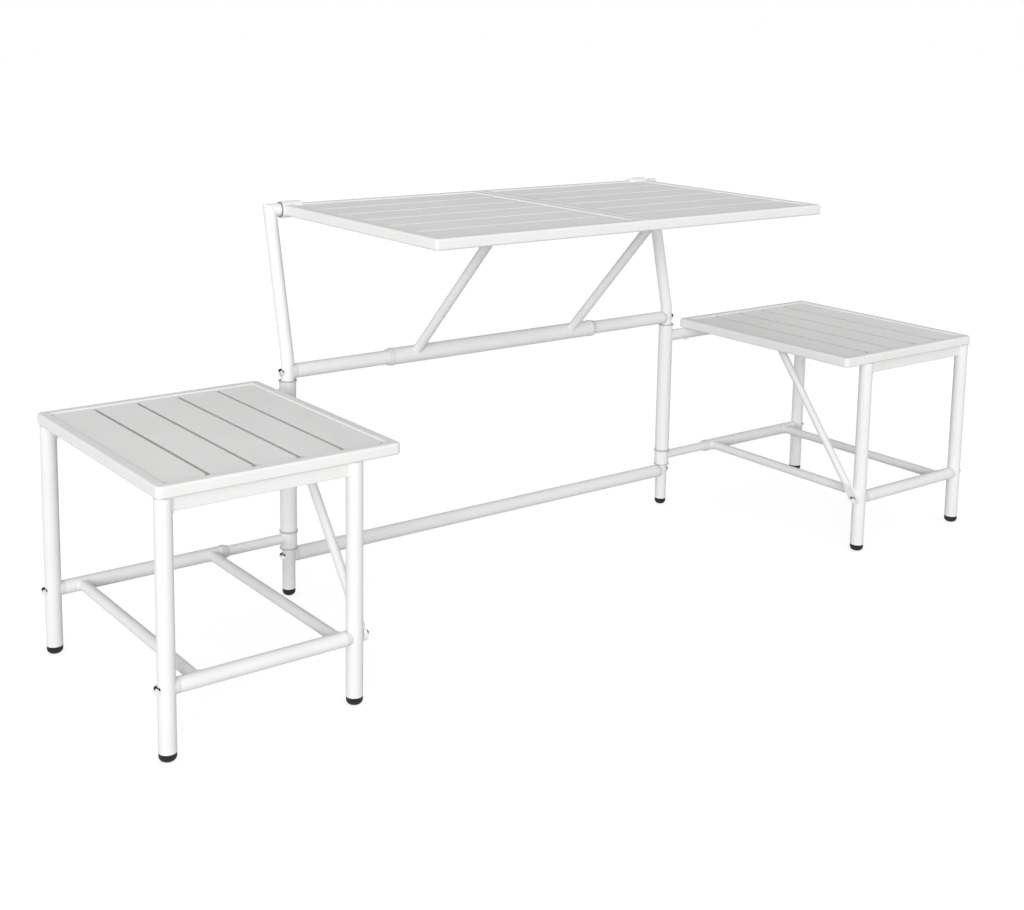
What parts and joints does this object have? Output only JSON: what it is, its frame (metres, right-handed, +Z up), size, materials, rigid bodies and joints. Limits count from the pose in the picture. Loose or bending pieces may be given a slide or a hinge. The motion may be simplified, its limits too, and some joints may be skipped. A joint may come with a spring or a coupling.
{
  "type": "convertible picnic table bench",
  "caption": "Folding garden table with a hinged slatted top on a tube frame and a square slatted seat swinging out at each side; it turns into a bench with a backrest.",
  "frame": {"origin": "on the floor under the middle of the bounding box, midway between the two rear legs along X", "axes": "+X along the bench to the sitter's left seen from the back, +Y to the back where the table is hinged, +Z up"},
  "size_m": [1.939, 0.565, 0.758],
  "materials": {
    "frame_paint": "satin white powder coat on steel tube and rails",
    "slat_paint": "satin white powder coat on folded steel sheet",
    "black_rubber": "matt black moulded foot",
    "bolt_steel": "polished steel domed bolt head",
    "zinc_steel": "zinc-plated steel",
    "bush_nylon": "light grey nylon bush",
    "plug_nylon": "white moulded end plug"
  },
  "bodies": {
    "rear_frame": {"left_upright": "frame_paint", "right_upright": "frame_paint", "hinge_stubs": "frame_paint", "hinge_pins": "zinc_steel", "mid_crossbar": "frame_paint", "lower_crossbar": "frame_paint", "crossbar_end_plugs": "plug_nylon", "crossbar_bolts": "bolt_steel", "rear_foot_plugs": "black_rubber"},
    "table": {"table_hinge_bushes": "bush_nylon", "table_hinge_sleeves": "frame_paint", "table_joining_bolts": "zinc_steel", "table_left_frame": "frame_paint", "table_left_slats": "slat_paint", "table_right_frame": "frame_paint", "table_right_slats": "slat_paint", "table_supports": "frame_paint"},
    "strut_frame": {"strut_sleeve": "frame_paint", "strut_sleeve_bushes": "bush_nylon", "struts": "frame_paint", "strut_pins": "zinc_steel"},
    "left_seat": {"left_apron_rail": "frame_paint", "left_back_bar": "frame_paint", "left_bar_end_plugs": "plug_nylon", "left_brace": "frame_paint", "left_foot_plugs": "black_rubber", "left_front_bar": "frame_paint", "left_inner_front_leg": "frame_paint", "left_leg_sleeve": "frame_paint", "left_lower_arm": "frame_paint", "left_lower_sleeve": "frame_paint", "left_outer_back_leg": "frame_paint", "left_outer_front_leg": "frame_paint", "left_seat_bolts": "bolt_steel", "left_seat_frame": "frame_paint", "left_seat_slats": "slat_paint", "left_seat_strap": "frame_paint", "left_side_bars": "frame_paint", "left_sleeve_bushes": "bush_nylon", "left_upper_arm": "frame_paint"},
    "right_seat": {"right_apron_rail": "frame_paint", "right_back_bar": "frame_paint", "right_bar_end_plugs": "plug_nylon", "right_brace": "frame_paint", "right_foot_plugs": "black_rubber", "right_front_bar": "frame_paint", "right_inner_front_leg": "frame_paint", "right_leg_sleeve": "frame_paint", "right_lower_arm": "frame_paint", "right_lower_sleeve": "frame_paint", "right_outer_back_leg": "frame_paint", "right_outer_front_leg": "frame_paint", "right_seat_bolts": "bolt_steel", "right_seat_frame": "frame_paint", "right_seat_slats": "slat_paint", "right_seat_strap": "frame_paint", "right_side_bars": "frame_paint", "right_sleeve_bushes": "bush_nylon", "right_upper_arm": "frame_paint"}
  },
  "joints": [
    {"name": "table_hinge", "type": "hinge", "parent": "rear_frame", "child": "table", "pos_m": [0, 0.2665, 0.742], "axis": [1, 0, 0], "range_deg": [0, 72]},
    {"name": "strut_swing", "type": "hinge", "parent": "rear_frame", "child": "strut_frame", "pos_m": [0, 0.2005, 0.442], "axis": [1, 0, 0], "range_deg": [0, 131]},
    {"name": "left_seat_swing", "type": "hinge", "parent": "rear_frame", "child": "left_seat", "pos_m": [-0.4875, 0.2005, 0], "axis": [0, 0, 1], "range_deg": [0, 90]},
    {"name": "right_seat_swing", "type": "hinge", "parent": "rear_frame", "child": "right_seat", "pos_m": [0.4875, 0.2005, 0], "axis": [0, 0, 1], "range_deg": [-90, 0]}
  ],
  "couplings": [
    {"joint": "strut_swing", "follows": "table_hinge", "ratio": 1.81}
  ]
}
